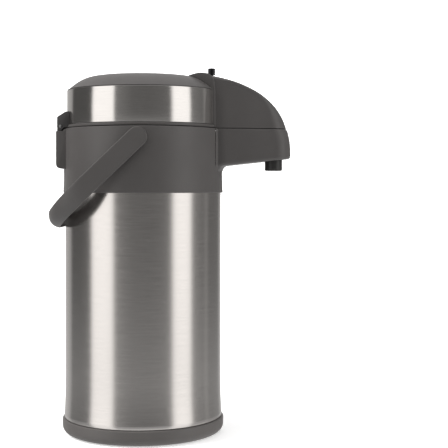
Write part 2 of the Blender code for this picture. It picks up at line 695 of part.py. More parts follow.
def make_spring():
    low = LID_FLOOR + GAP + SPRING_WIRE
    high = CAP_BOTTOM - GAP - SPRING_WIRE
    count = 12 * SPRING_TURNS
    path = []
    for i in range(count + 1):
        angle = 2 * math.pi * i / 12
        path.append((SPRING_RADIUS * math.cos(angle), SPRING_RADIUS * math.sin(angle),
                     low + (high - low) * i / count))
    bent_tube("return_spring", path, SPRING_WIRE, steel(), resolution=1)


def make_pump():
    turned("push_plate", [(0, PLATE_TOP), (0.0280, PLATE_TOP - 0.0004), (0.0440, PLATE_TOP - 0.0012),
                          (0.0490, 0.3516), (PLATE_RADIUS, 0.3506), (PLATE_RADIUS, 0.3400), (0.0480, 0.3400),
                          (0.0480, 0.3490), (0.0430, 0.3499), (0, 0.3508)], plastic(), steps=32)
    turned("push_post", [(0, 0.3504), (0.0140, 0.3502), (0.0140, 0.3480), (0.0080, 0.3466), (0.0080, 0.3454),
                         (0, 0.3454)], inner_plastic(), steps=16)
    turned("vent_seal", [(0, 0.3451), (0.0070, 0.3451), (0.0070, 0.3433), (0, 0.3433)], rubber(), steps=20)
    cap = turned("bellows_cap", [(0, 0.3430), (0.0316, 0.3430), (0.0320, 0.3426), (0.0320, CAP_BOTTOM),
                                 (0, CAP_BOTTOM)], inner_plastic(), steps=24)
    cut(cap, rod("vent", 0.0022, (0, 0, 0.3300), (0, 0, 0.3500), sides=12, collection=cutters))
    make_bellows()
    make_spring()


# ---------------------------------------------------------------- lock

def make_lock():
    slider = block("lock_slider", (0.0600, LOCK_Y - 0.0095, 0.3485), (0.0735, LOCK_Y + 0.0095, 0.3502),
                   inner_plastic())
    join(slider, block("web", (0.0584, LOCK_Y - 0.0040, 0.3436), (0.0610, LOCK_Y + 0.0040, 0.3500)))
    join(slider, block("tongue", (0.0507, LOCK_Y - 0.0040, 0.3434), (0.0600, LOCK_Y + 0.0040, 0.3458)))
    cut(slider, rod("pin_socket", 0.0019, (LOCK_X, LOCK_Y, 0.3400), (LOCK_X, LOCK_Y, 0.3600), sides=16,
                    collection=cutters))
    turned("lock_knob", [(0, KNOB_TOP), (KNOB_RADIUS - 0.0007, KNOB_TOP), (KNOB_RADIUS, KNOB_TOP - 0.0007),
                         (KNOB_RADIUS, 0.3573), (0.0015, 0.3573), (0.0015, 0.3488), (0, 0.3488)],
           glossy_black(), steps=20, centre=(LOCK_X, LOCK_Y))


# ---------------------------------------------------------------- handle

def make_handle():
    outer_half = STRAP_INSIDE + STRAP_THICK
    inner_reach = HANDLE_REACH - STRAP_THICK
    tail = -STRAP_WIDTH / 2
    outer_bend = HANDLE_BEND + STRAP_THICK
    outer = [(tail, outer_half)]
    outer += arc((HANDLE_REACH - outer_bend, outer_half - outer_bend), outer_bend, 90, 0, 9)
    outer += [(x, -y) for x, y in reversed(outer)]
    inner = [(tail, STRAP_INSIDE)]
    inner += arc((inner_reach - HANDLE_BEND, STRAP_INSIDE - HANDLE_BEND), HANDLE_BEND, 90, 0, 9)
    inner += [(x, -y) for x, y in reversed(inner)]
    # The handle's own frame: x along its reach, y across, z across the strap's width.
    along = Vector((-math.cos(HANDLE_SLOPE), 0, -math.sin(HANDLE_SLOPE)))
    across = Vector((0, 1, 0))
    normal = along.cross(across)
    place = Matrix((along, across, normal)).transposed().to_4x4()
    place.translation = (0, 0, PIVOT_Z)
    bail = plate("handle_bail", outer + list(reversed(inner)), STRAP_WIDTH + 0.002, place, plastic())

    half = STRAP_WIDTH / 2
    side = arc((0, 0), half, 270, 90, 8)
    side += [(HANDLE_REACH - GRIP_ROUND, half)]
    side += arc((HANDLE_REACH - GRIP_ROUND, 0), GRIP_ROUND, 75, -75, 6)
    side += [(HANDLE_REACH - GRIP_ROUND, -half)]
    turn = Matrix((along, normal, -across)).transposed().to_4x4()
    turn.translation = (0, 0, PIVOT_Z)
    keep_inside(bail, plate("side_shape", side, 0.20, turn, collection=cutters))
    for sign in (-1, 1):
        join(bail, rod("stud", STUD_RADIUS, (0, sign * 0.0728, PIVOT_Z), (0, sign * 0.0815, PIVOT_Z), sides=16))
    set_origin(bail, (0, 0, PIVOT_Z))

    for name, sign in (("handle_clip_near", -1), ("handle_clip_far", 1)):
        clip = rod(name, 0.0068, (0, sign * 0.0739, PIVOT_Z), (0, sign * 0.0756, PIVOT_Z), steel(), sides=16)
        cut(clip, rod("clip_hole", STUD_RADIUS + GAP, (0, sign * 0.0700, PIVOT_Z), (0, sign * 0.0800, PIVOT_Z),
                      sides=16, collection=cutters))
        set_origin(clip, (0, 0, PIVOT_Z))


def place_moving_origins():
    """Give every moving piece its origin on its joint's axis."""
    hinge = (HINGE_X, 0.0, HINGE_Z)
    lid = ["lid_shell", "lid_band", "lid_base", "lid_catch", "bellows_ring", "valve_flap", "duct_gasket",
           "bellows", "return_spring"] + ["lid_screw_%d" % n for n in range(1, 5)]
    for name in lid:
        set_origin(bpy.data.objects[name], hinge)


def finish_shading():
    for obj in parts.objects:
        obj.data.shade_smooth()
        obj.data.set_sharp_from_angle(angle=math.radians(35))


def main():
    start_scene()
    make_base()
    make_bottle()
    make_collar()
    make_stopper()
    make_pipe()
    make_lid_shell()
    make_lid_band()
    make_lid_base()
    make_pump()
    make_lock()
    make_handle()
    place_moving_origins()
    finish_shading()


main()
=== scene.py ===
"""Looks of the thermal coffee airpot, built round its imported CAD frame. Metres, +Z up."""
import json
import math

import bmesh
import bpy
from mathutils import Matrix, Vector


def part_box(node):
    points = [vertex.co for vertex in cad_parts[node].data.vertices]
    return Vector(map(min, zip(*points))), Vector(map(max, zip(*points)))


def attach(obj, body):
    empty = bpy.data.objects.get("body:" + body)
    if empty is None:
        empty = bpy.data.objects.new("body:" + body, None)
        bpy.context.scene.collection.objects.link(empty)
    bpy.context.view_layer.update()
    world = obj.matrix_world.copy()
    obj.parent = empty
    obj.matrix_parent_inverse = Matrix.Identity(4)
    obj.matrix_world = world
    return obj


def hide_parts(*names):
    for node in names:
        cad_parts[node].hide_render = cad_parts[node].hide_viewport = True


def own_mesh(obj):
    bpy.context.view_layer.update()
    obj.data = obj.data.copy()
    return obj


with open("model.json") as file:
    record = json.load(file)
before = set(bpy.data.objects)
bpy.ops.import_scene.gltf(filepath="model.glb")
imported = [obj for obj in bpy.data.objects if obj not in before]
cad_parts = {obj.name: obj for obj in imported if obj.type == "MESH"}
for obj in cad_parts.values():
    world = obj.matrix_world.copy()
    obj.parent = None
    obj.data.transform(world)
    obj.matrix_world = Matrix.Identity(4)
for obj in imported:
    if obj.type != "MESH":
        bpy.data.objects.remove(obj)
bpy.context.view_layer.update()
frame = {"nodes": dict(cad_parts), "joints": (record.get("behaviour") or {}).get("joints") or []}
nodes = frame["nodes"]

# Places read from the CAD
BASE_LOW, BASE_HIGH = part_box("base_cup")
BODY_LOW, BODY_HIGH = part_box("outer_shell")
COLLAR_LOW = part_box("collar")[0]
SHELL_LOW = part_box("lid_shell")[0]
BAND_LOW, BAND_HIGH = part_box("lid_band")
RIM_LOW, RIM_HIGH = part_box("lid_base")
NOZZLE_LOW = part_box("nozzle")[0]
KNOB_LOW, KNOB_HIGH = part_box("lock_knob")
BELLOWS_LOW, BELLOWS_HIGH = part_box("bellows")
JOINTS = {joint["name"]: joint for joint in frame["joints"]}
PIVOT = Vector(JOINTS["handle_swing"]["pos_m"])
HINGE = Vector(JOINTS["lid_hinge"]["pos_m"])

# Mouldings
COLLAR_RADIUS = 0.0787
LID_WALL = 0.0745               # outside of the lid's wall, behind the steel band
SKIN = 0.0023                   # thickness of a moulding
SEAM = 0.3005                   # height of the seam between collar and lid
SEAM_GAP = 0.0005
SEAM_TOP = SEAM + SEAM_GAP / 2
SEAM_FOOT = SEAM - SEAM_GAP / 2
HINGE_HALF = 0.0280             # half-width of the hinge's bracket and ears
HINGE_ROOM = 0.0283             # the same with its clearance
CUT_LOW = 0.2900                # a cutter that passes right through the lid goes from here
CUT_HIGH = 0.3700               # to here

# Spout
SPOUT_HALF = 0.0283             # half-width where it leaves the collar
TIP_HALF = 0.0193               # half-width at its nose
TAPER_START = 0.0800            # the flanks draw in between these two places
TAPER_END = 0.1275
NOSE_ROUND = 0.0165             # rounding of the nose, seen from above
EDGE_ROUND = 0.0035             # rounding of the cover's long edges
COVER_LINE = ((0.0600, 0.3534), (0.0620, 0.3522), (0.1296, 0.3476), (0.1425, SEAM_TOP))
COVER_BACK = 0.0590
COVER_SKIN = 0.0011
CHEEK_HALF = 0.0290             # half-width of the frame round the cover's root
CHEEK_FRONT = 0.0723
TROUGH_NOSE = 0.1468
TROUGH_RIM = 0.1431             # the nose again, at the trough's rim
TROUGH_LINE = ((TROUGH_RIM, SEAM_FOOT), (0.1463, 0.2885), (0.1469, 0.2755), (TROUGH_NOSE, 0.2725))
NOZZLE_CENTRE = (0.1300, 0.0)
TROUGH_ROUND = 0.0030           # rounding of the trough's lower edge
RIM_ROUND = 0.0008              # and of its rim
FILLET_STEPS = 8                # steps of the fillet between trough and collar

# Handle
HANDLE_SLOPE = math.radians(43.7)
HANDLE_INSIDE = 0.0803          # the legs' inner faces stand this far from the middle plane
HANDLE_THICK = 0.0045
HANDLE_HALF = 0.0093            # half-width of the strap
HANDLE_REACH = 0.1196           # from the pivots to the grip's outer face
HANDLE_CROWN = 0.0046           # how far the grip's outer face is rounded
HANDLE_CLEAR = 0.0780           # the grip's lower edge keeps this far from the bottle's axis

# Meshes
FINE = 176                      # steps round a large turned piece
MEDIUM = 96                     # steps round a hidden piece or a cutter
SHARP = 38                      # degrees; a sharper edge than this isn't smoothed
WELD = 0.000002                 # points closer than this are one


# ---------------------------------------------------------------- shape helpers

def finish_mesh(name, form, sharp=SHARP):
    """Weld the points, turn the faces outwards and make an object of them."""
    mesh = bpy.data.meshes.new(name)
    bmesh.ops.remove_doubles(form, verts=form.verts, dist=WELD)
    bmesh.ops.recalc_face_normals(form, faces=form.faces)
    form.to_mesh(mesh)
    form.free()
    mesh.shade_smooth()
    mesh.set_sharp_from_angle(angle=math.radians(sharp))
    obj = bpy.data.objects.new(name, mesh)
    bpy.context.scene.collection.objects.link(obj)
    return obj


def mix(one, two, share):
    """The value a share of the way from one to two."""
    return one + (two - one) * share


def arc(centre, radius, start, end, steps):
    """Points on a circle from one angle to another, in degrees."""
    points = []
    for i in range(steps + 1):
        angle = math.radians(start + (end - start) * i / steps)
        points.append((centre[0] + radius * math.cos(angle), centre[1] + radius * math.sin(angle)))
    return points


def bezier(controls, fraction):
    """The point at a fraction of the curve that the control points draw."""
    level = [Vector(point) for point in controls]
    while len(level) > 1:
        level = [a.lerp(b, fraction) for a, b in zip(level, level[1:])]
    return level[0]


def smoothstep(value):
    """Ease from 0 to 1 as the value goes from 0 to 1."""
    value = min(max(value, 0.0), 1.0)
    return value * value * (3 - 2 * value)


def rounded(points, radius, steps=4):
    """Round the corners of a closed outline, each by at most the given radius."""
    result = []
    for i, point in enumerate(points):
        here = Vector(point)
        before = Vector(points[i - 1]) - here
        after = Vector(points[(i + 1) % len(points)]) - here
        turn = before.angle(after)
        reach = min(radius / math.tan(turn / 2), 0.45 * before.length, 0.45 * after.length)
        first = here + before.normalized() * reach
        last = here + after.normalized() * reach
        for k in range(steps + 1):
            result.append(tuple(bezier((first, here, last), k / steps)))
    return result


def revolve(name, outline, steps=FINE, closed=False, centre=(0.0, 0.0), sharp=SHARP):
    """Turn an outline of (radius, height) points about a vertical axis."""
    form = bmesh.new()
    rings = []
    for radius, height in outline:
        if radius < 1e-7:
            rings.append([form.verts.new((centre[0], centre[1], height))])
            continue
        ring = []
        for i in range(steps):
            angle = 2 * math.pi * i / steps
            ring.append(form.verts.new((centre[0] + radius * math.cos(angle),
                                        centre[1] + radius * math.sin(angle), height)))
        rings.append(ring)
    pairs = list(zip(rings, rings[1:]))
    if closed:
        pairs.append((rings[-1], rings[0]))
    for one, two in pairs:
        for i in range(steps):
            j = (i + 1) % steps
            if len(one) == 1:
                form.faces.new((one[0], two[i], two[j]))
            elif len(two) == 1:
                form.faces.new((one[j], one[i], two[0]))
            else:
                form.faces.new((one[i], two[i], two[j], one[j]))
    return finish_mesh(name, form, sharp)


def grid(name, rows, cap=False, sharp=SHARP):
    """Skin a list of closed rings of points, each ring as long as the others."""
    form = bmesh.new()
    made = [[form.verts.new(point) for point in row] for row in rows]
    for one, two in zip(made, made[1:]):
        for i in range(len(one)):
            j = (i + 1) % len(one)
            form.faces.new((one[i], one[j], two[j], two[i]))
    if cap:
        form.faces.new(made[0])
        form.faces.new(made[-1])
    return finish_mesh(name, form, sharp)


def extrude(name, outline, half):
    """Give an outline in (X, Z) a half-width along Y, to both sides of the middle plane."""
    form = bmesh.new()
    near = [form.verts.new((x, -half, z)) for x, z in outline]
    far = [form.verts.new((x, half, z)) for x, z in outline]
    form.faces.new(near)
    form.faces.new(far)
    for i in range(len(near)):
        j = (i + 1) % len(near)
        form.faces.new((near[i], near[j], far[j], far[i]))
    return finish_mesh(name, form)


def bevelled(obj, width, segments=3, angle=30):
    """Round an object's sharp edges and keep the result."""
    bevel = obj.modifiers.new("rounding", "BEVEL")
    bevel.width = width
    bevel.segments = segments
    bevel.limit_method = "ANGLE"
    bevel.angle_limit = math.radians(angle)
    return keep_modifiers(obj)


def keep_modifiers(obj):
    """Make the shape that an object's modifiers give its own mesh."""
    bpy.context.view_layer.update()
    graph = bpy.context.evaluated_depsgraph_get()
    mesh = bpy.data.meshes.new_from_object(obj.evaluated_get(graph))
    obj.modifiers.clear()
    obj.data = mesh
    mesh.shade_smooth()
    mesh.set_sharp_from_angle(angle=math.radians(SHARP))
    return obj


def carve(obj, cutter):
    """Cut one object out of another and drop the cutter."""
    change = obj.modifiers.new("carve", "BOOLEAN")
    change.operation = "DIFFERENCE"
    change.solver = "EXACT"
    change.object = cutter
    keep_modifiers(obj)
    bpy.data.objects.remove(cutter, do_unlink=True)


def block(left, right, low, high, half):
    """A box to cut with, centred on the middle plane."""
    return extrude("block", [(left, low), (right, low), (right, high), (left, high)], half)


def drum(radius, high, low, steps=MEDIUM, centre=(0.0, 0.0)):
    """A round bar to cut with, from its top down to its foot."""
    outline = [(0, high), (radius, high), (radius, low), (0, low)]
    return revolve("drum", outline, steps=steps, centre=centre)


def facing_side(name, outline, steps, side):
    """Turn an outline about the handle's pivot line, facing one side: -1 near, 1 far."""
    obj = revolve(name, outline, steps=steps)
    obj.data.transform(Matrix.Translation(PIVOT) @ Matrix.Rotation(math.radians(-90 * side), 4, "X"))
    return obj


def dress(obj, body, replaced, look):
    """Put a visual piece on its body, in place of its CAD node, with its material."""
    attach(obj, body)
    for node in replaced:
        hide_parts(node)
    obj.data.materials.clear()
    obj.data.materials.append(look)


# ---------------------------------------------------------------- materials

class Tree:
    """A node tree, built link by link."""

    def __init__(self, tree):
        self.tree = tree

    def node(self, kind, **settings):
        """Add a node and give it its settings."""
        made = self.tree.nodes.new(kind)
        for key, value in settings.items():
            setattr(made, key, value)
        return made

    def feed(self, source, socket):
        """Link a source, or give a plain value, to a socket."""
        if isinstance(source, (int, float, tuple)):
            socket.default_value = source
        else:
            self.tree.links.new(source, socket)

    def parts(self, vector):
        """The X, Y and Z of a vector."""
        made = self.node("ShaderNodeSeparateXYZ")
        self.feed(vector, made.inputs[0])
        return made.outputs

    def maths(self, operation, first, second):
        """Work out one value from two."""
        made = self.node("ShaderNodeMath", operation=operation)
        self.feed(first, made.inputs[0])
        self.feed(second, made.inputs[1])
        return made.outputs[0]

    def spread(self, value, low, high, from_low=0.3, from_high=0.7, curve="LINEAR"):
        """Carry a value from one range to another."""
        made = self.node("ShaderNodeMapRange", interpolation_type=curve)
        self.feed(value, made.inputs["Value"])
        self.feed(from_low, made.inputs["From Min"])
        self.feed(from_high, made.inputs["From Max"])
        self.feed(low, made.inputs["To Min"])
        self.feed(high, made.inputs["To Max"])
        return made.outputs["Result"]

    def blend(self, factor, one, two):
        """Mix two colours."""
        made = self.node("ShaderNodeMix", data_type="RGBA")
        self.feed(factor, made.inputs["Factor"])
        self.feed(one, made.inputs["A"])
        self.feed(two, made.inputs["B"])
        return made.outputs["Result"]


class Look(Tree):
    """A material's node tree."""

    def __init__(self, name):
        self.material = bpy.data.materials.new(name)
        self.material.use_nodes = True
        super().__init__(self.material.node_tree)
        self.surface = self.tree.nodes["Principled BSDF"].inputs
        self.place = self.node("ShaderNodeTexCoord").outputs["Object"]

    def noise(self, vector, scale, detail=3.0, roughness=0.55):
        """Cloudy noise between 0 and 1."""
        made = self.node("ShaderNodeTexNoise")
        self.feed(vector, made.inputs["Vector"])
        self.feed(scale, made.inputs["Scale"])
        self.feed(detail, made.inputs["Detail"])
        self.feed(roughness, made.inputs["Roughness"])
        return made.outputs["Fac"]

    def both(self, one, two, share):
        """Add two noises, the first with the given share and the second with the rest."""
        first = self.maths("MULTIPLY", one, share)
        second = self.maths("MULTIPLY", two, 1.0 - share)
        return self.maths("ADD", first, second)

    def colour(self, value, colour, dark, light):
        """Let the surface's colour wander from a darker to a lighter shade."""
        shades = [(*(channel * share for channel in colour), 1.0) for share in (dark, light)]
        self.feed(self.blend(self.spread(value, 0.0, 1.0), *shades), self.surface["Base Color"])

    def gloss(self, value, low, high):
        """Let the surface's roughness wander between two values."""
        self.feed(self.spread(value, low, high), self.surface["Roughness"])

    def bump(self, height, strength, distance):
        """Raise the surface by a noise."""
        made = self.node("ShaderNodeBump")
        self.feed(strength, made.inputs["Strength"])
        self.feed(distance, made.inputs["Distance"])
        self.feed(height, made.inputs["Height"])
        self.feed(made.outputs["Normal"], self.surface["Normal"])


def moulded(name, colour, roughness):
    """Satin moulded plastic: fine spark-eroded grain, faint flow clouds and handling marks."""
    look = Look(name)
    clouds = look.noise(look.place, 22.0, 4.0)
    grain = look.noise(look.place, 2600.0, 2.0, 0.6)
    look.colour(look.both(clouds, grain, 0.6), colour, 0.90, 1.10)
    handling = look.noise(look.place, 60.0, 5.0, 0.65)
    look.gloss(handling, roughness - 0.04, roughness + 0.06)
    look.bump(grain, 0.35, 0.00003)
    look.feed(0.45, look.surface["Specular IOR Level"])
    return look.material


def brushed(name, colour, roughness, line=5200.0, strength=0.10):
    """Stainless steel brushed round its vertical axis: long fine scratches at even heights."""
    look = Look(name)
    parts = look.parts(look.place)
    angle = look.maths("ARCTAN2", parts["Y"], parts["X"])
    lines = look.node("ShaderNodeCombineXYZ")
    look.feed(look.maths("MULTIPLY", angle, 0.0030), lines.inputs["X"])
    look.feed(parts["Z"], lines.inputs["Z"])
    fine = look.noise(lines.outputs[0], line, 2.0, 0.6)
    broad = look.noise(lines.outputs[0], line * 0.16, 3.0, 0.6)
    scratch = look.both(fine, broad, 0.55)
    look.colour(scratch, colour, 0.90, 1.07)
    look.gloss(scratch, roughness - 0.04, roughness + 0.05)
    look.bump(scratch, strength, 0.00002)
    look.feed(1.0, look.surface["Metallic"])
    return look.material


def soft_rubber(name, colour):
    """Matte silicone with a dusty bloom."""
    look = Look(name)
    bloom = look.noise(look.place, 140.0, 5.0, 0.7)
    look.colour(bloom, colour, 0.8, 1.5)
    look.gloss(bloom, 0.68, 0.86)
    look.bump(look.noise(look.place, 1900.0), 0.3, 0.00003)
    return look.material


def polished(name, colour):
    """Glossy black knob with faint rub marks."""
    look = Look(name)
    rub = look.noise(look.place, 900.0, 4.0, 0.7)
    look.colour(rub, colour, 1.0, 1.8)
    look.gloss(rub, 0.06, 0.16)
    look.bump(rub, 0.1, 0.00001)
    look.feed(0.6, look.surface["Metallic"])
    return look.material


def pale_floor():
    """Matt studio paper that brightens as the sweep rises."""
    look = Look("studio_paper")
    fibre = look.noise(look.place, 30.0, 4.0)
    look.colour(fibre, (1.0, 1.0, 1.0), 0.86, 0.89)
    look.feed(0.9, look.surface["Roughness"])
    look.feed((1.0, 1.0, 1.0, 1.0), look.surface["Emission Color"])
    height = look.maths("MULTIPLY", look.parts(look.place)["Z"], 0.8)
    look.feed(look.spread(height, 0.46, 1.20), look.surface["Emission Strength"])
    return look.material


PLASTIC = moulded("warm_grey_plastic", (0.090, 0.085, 0.083), 0.40)
BASE_PLASTIC = moulded("base_plastic", (0.116, 0.109, 0.105), 0.46)
DARK_PLASTIC = moulded("near_black_plastic", (0.030, 0.029, 0.028), 0.36)
INNER_PLASTIC = moulded("inner_plastic", (0.060, 0.057, 0.055), 0.46)
HINGE_PLASTIC = moulded("hinge_plastic", (0.062, 0.060, 0.060), 0.38)
STEEL = brushed("brushed_body_steel", (0.64, 0.615, 0.595), 0.20)
BAND_STEEL = brushed("brushed_band_steel", (0.66, 0.64, 0.62), 0.13, 6400.0, 0.05)
INNER_STEEL = brushed("satin_inner_steel", (0.58, 0.58, 0.58), 0.30)
SILICONE = soft_rubber("silicone", (0.05, 0.05, 0.05))
RUBBER = soft_rubber("pad_rubber", (0.028, 0.028, 0.028))
PIN_STEEL = brushed("dark_pin_steel", (0.30, 0.30, 0.30), 0.32)
KNOB_BLACK = polished("glossy_black", (0.012, 0.012, 0.013))


# ---------------------------------------------------------------- base and body

def make_base():
    """Dark base: a cup with a rounded lower edge and a shallow recess for the rubber pad."""
    outer = BASE_HIGH.x
    lip = 0.0156
    bottom = BASE_LOW.z
    corner = 0.0078
    lip_round = 0.0012
    wall = 0.0756
    recess = bottom + 0.0022
    outline = [(0, bottom + 0.0048), (0.0738, bottom + 0.0060), (0.0738, BASE_HIGH.z), (wall, BASE_HIGH.z),
               (wall, lip)]
    outline += arc((outer - lip_round, lip - lip_round), lip_round, 90, 0, 5)
    outline += arc((outer - corner, bottom + corner), corner, 0, -90, 14)
    outline += [(0.0620, bottom), (0.0620, recess), (0, recess)]
    dress(revolve("base_skin", outline), "bottle", ["base_cup"], BASE_PLASTIC)


def make_body():
    """Steel wall, flaring a little under the collar and at its foot."""
    top = BODY_HIGH.z
    low = BODY_LOW.z
    radius = 0.0769
    wall = 0.0009
    shoulder = 0.0004
    shoulder_foot = 0.150
    flare = 0.0013
    flare_top = 0.0600
    edge = 0.0006
    outer = [(radius + shoulder, top)]
    for i in range(1, 9):
        outer.append((radius + shoulder * (1 - i / 8) ** 2, mix(top, shoulder_foot, i / 8)))
    outer.append((radius, flare_top))
    for i in range(1, 13):
        outer.append((radius + flare * (i / 12) ** 2.2, mix(flare_top, low + edge, i / 12)))
    outer.append((0.0778, low))
    inner = [(r - wall, z) for r, z in reversed(outer)]
    dress(revolve("body_wall", outer + inner, closed=True, sharp=50), "bottle", ["outer_shell"],
          STEEL)


# ---------------------------------------------------------------- spout

def flank(x):
    """Half-width of the spout at a place along it."""
    taper = (SPOUT_HALF - TIP_HALF) / (TAPER_END - TAPER_START)
    return SPOUT_HALF - taper * max(x - TAPER_START, 0.0)


def spout_plan(nose, back, long_round, cross_round, inset=0.0):
    """Half of a level outline of the spout, from its back end to the nose on the middle line."""
    long_round = min(long_round, 0.92 * (nose - back))
    corner = nose - long_round
    wide = flank(corner) - inset
    cross_round = min(cross_round, wide)
    points = []
    # the flank's points stand closer together towards its back end
    for i in range(17):
        x = mix(back, corner, (i / 16) ** 1.6)
        points.append((x, flank(x) - inset))
    for i in range(1, 17):
        angle = math.pi / 2 * (1 - i / 16)
        points.append((corner + long_round * math.cos(angle),
                       wide - cross_round + cross_round * math.sin(angle)))
    points.append((nose, 0.0))
    return points


def mirrored(half, height):
    """A whole level ring from its half, at one height or at a height worked out from each point."""
    level = height if callable(height) else (lambda x, y: height)
    ring = [(x, -y, level(x, y)) for x, y in half]
    ring += [(x, y, level(x, y)) for x, y in reversed(half[:-1])]
    return ring


def cover_rows(inset):
    """Level rings up the spout's cover, whose nose follows COVER_LINE, drawn in by the inset."""
    steps = 60
    rows = []
    for i in range(steps + 1):
        fraction = 1 - 0.89 * (i / steps)
        here = bezier(COVER_LINE, fraction)
        ahead = bezier(COVER_LINE, fraction - 0.01)
        slope = max((ahead.y - here.y) / max(here.x - ahead.x, 1e-6), 0.10)
        plan_round = NOSE_ROUND * (1 - smoothstep((here.y - 0.300) / 0.050))
        long_round = max(EDGE_ROUND / slope, plan_round)
        cross_round = max(EDGE_ROUND, plan_round)
        half = spout_plan(here.x - inset, COVER_BACK + inset, long_round, cross_round, inset)
        rows.append(mirrored(half, here.y - inset * 0.9 if i else here.y))
    return rows


def cover_solid(name, inset, reach):
    """The cover's outer form, or its hollow; the open underside is carried down by reach."""
    apart = 0.0003
    foot, *others = cover_rows(inset)
    rows = [row for row in others if row[0][2] > foot[0][2] + apart]
    foot = [(x, y, z - reach) for x, y, z in foot]
    return grid(name, [foot] + rows, cap=True, sharp=44)


def knob_slot():
    """The slot across the cover's top that the lock's knob slides in."""
    return block(0.0663, 0.0701, 0.34, 0.37, 0.0070)


def tongue_window():
    """The window behind the cover that the lock's tongue passes through."""
    return block(0.0480, 0.0600, 0.3428, 0.3467, 0.0096)


def make_cover():
    """Spout cover: a hollow moulding, open below and behind."""
    cover = cover_solid("spout_cover", 0.0, 0.0)
    carve(cover, cover_solid("hollow", COVER_SKIN, 0.004))
    carve(cover, drum(0.0724, 0.3364, CUT_LOW))
    carve(cover, knob_slot())
    dress(cover, "lid", ["lid_shell"], PLASTIC)


def make_cheek():
    """The raised frame that the spout cover grows out of, with the lip behind the lock's knob."""
    corner = (CHEEK_FRONT, 0.3388)
    ramp = (corner, (0.0722, 0.3450), (0.0706, 0.3525), (0.0640, 0.3541))
    side = [(CHEEK_FRONT, SEAM_TOP), corner]
    side += [tuple(bezier(ramp, i / 12)) for i in range(1, 13)]
    side += [(0.0575, 0.3548), (0.0552, 0.3545), (0.0512, 0.3536), (0.0462, 0.3520), (0.0452, 0.3496),
             (0.0538, 0.3480), (0.0538, SEAM_TOP)]
    cheek = bevelled(extrude("spout_frame", side, CHEEK_HALF), 0.0009, 3, 50)
    hollow = [(0.0900, CUT_LOW), (0.0900, 0.3500), (0.0690, 0.3505), (0.0560, 0.3518), (0.0556, CUT_LOW)]
    carve(cheek, extrude("hollow", hollow, CHEEK_HALF - 0.0016))
    carve(cheek, drum(0.0728, 0.3366, CUT_LOW))
    carve(cheek, drum(0.0504, CUT_HIGH, 0.3300))
    carve(cheek, tongue_window())
    carve(cheek, knob_slot())
    dress(cheek, "lid", ["lid_shell"], PLASTIC)


def trough_floor(x, y):
    """Height of the trough's underside, with a round fillet into the collar."""
    level = mix(0.2648, 0.2707, (x - 0.0890) / (0.1440 - 0.0890))
    away = max(math.hypot(x, y) - COLLAR_RADIUS, 0.0)
    fillet = 0.0062
    if away < fillet:
        level -= fillet - math.sqrt(fillet * fillet - (fillet - away) ** 2)
    return level


def trough_plan(nose, inset):
    """Half of the trough's level outline, flaring into the collar through a fillet."""
    fillet = 0.0028
    centre_y = SPOUT_HALF + fillet
    centre_x = math.sqrt((COLLAR_RADIUS + fillet) ** 2 - centre_y ** 2)
    join = math.degrees(math.atan2(centre_y, centre_x))
    if inset == 0.0:
        half = arc((centre_x, centre_y), fillet, 180 + join, 270, FILLET_STEPS)
    else:
        half = [(COLLAR_RADIUS + 0.0018, flank(COLLAR_RADIUS) - inset)] * (FILLET_STEPS + 1)
    rest = spout_plan(nose, half[-1][0], NOSE_ROUND, NOSE_ROUND, inset)
    return half + rest[1:]


def trough_outside():
    """Rings up the trough's outside: rounded lower edge, flanks and rounded rim."""
    rows = []
    for i in range(7):
        angle = math.pi / 2 * i / 6
        inset = TROUGH_ROUND * (1 - math.sin(angle))
        lift = TROUGH_ROUND * (1 - math.cos(angle))
        half = [(x - inset * 0.7, max(y - inset, 0.0)) for x, y in trough_plan(TROUGH_NOSE, 0.0)]
        rows.append(mirrored(half, lambda x, y: trough_floor(x, y) + lift))
    for i in range(1, 15):
        share = i / 14
        half = trough_plan(bezier(TROUGH_LINE, 1 - share).x, 0.0)
        rows.append(mirrored(half, lambda x, y: mix(trough_floor(x, y) + TROUGH_ROUND, SEAM_FOOT, share)))
    rows[-1] = [(x, y, z - RIM_ROUND) for x, y, z in rows[-1]]
    rim = trough_plan(TROUGH_RIM - 0.0005, 0.0)
    for inset, drop in ((RIM_ROUND * 0.3, RIM_ROUND * 0.3), (RIM_ROUND, 0.0)):
        rows.append(mirrored([(x, max(y - inset, 0.0)) for x, y in rim], SEAM_FOOT - drop))
    return rows


def trough_inside():
    """The two rings of the trough's inner wall, at the rim and at its floor."""
    def floor(x, y):
        return min(max(trough_floor(x, y) + SKIN + 0.0006, 0.2675), 0.2722)
    return [mirrored(trough_plan(TROUGH_RIM - SKIN, SKIN), SEAM_FOOT),
            mirrored(trough_plan(0.1440 - SKIN, SKIN), floor)]


def narrowed(ring, share):
    """A ring with a share of its width; its ends draw in a little too, so that no two rings touch."""
    middle = 0.1100
    return [(middle + (x - middle) * (0.9 + 0.1 * share), y * share, z) for x, y, z in ring]


def make_trough():
    """Lower half of the spout, open above, with the hole for the nozzle in its floor."""
    outside = trough_outside()
    inside = trough_inside()
    under = []
    floor = []
    for k in range(9):
        ring = narrowed(outside[0], k / 8)
        under.append([(x, y, trough_floor(x, y)) for x, y, z in ring])
    for k in range(7, -1, -1):
        floor.append(narrowed(inside[-1], k / 8))
    trough = grid("spout_trough", under + outside[1:] + inside + floor, sharp=44)
    carve(trough, drum(0.0090, 0.30, 0.24, 48, NOZZLE_CENTRE))
    dress(trough, "bottle", ["collar"], PLASTIC)


# ---------------------------------------------------------------- collar and hinge

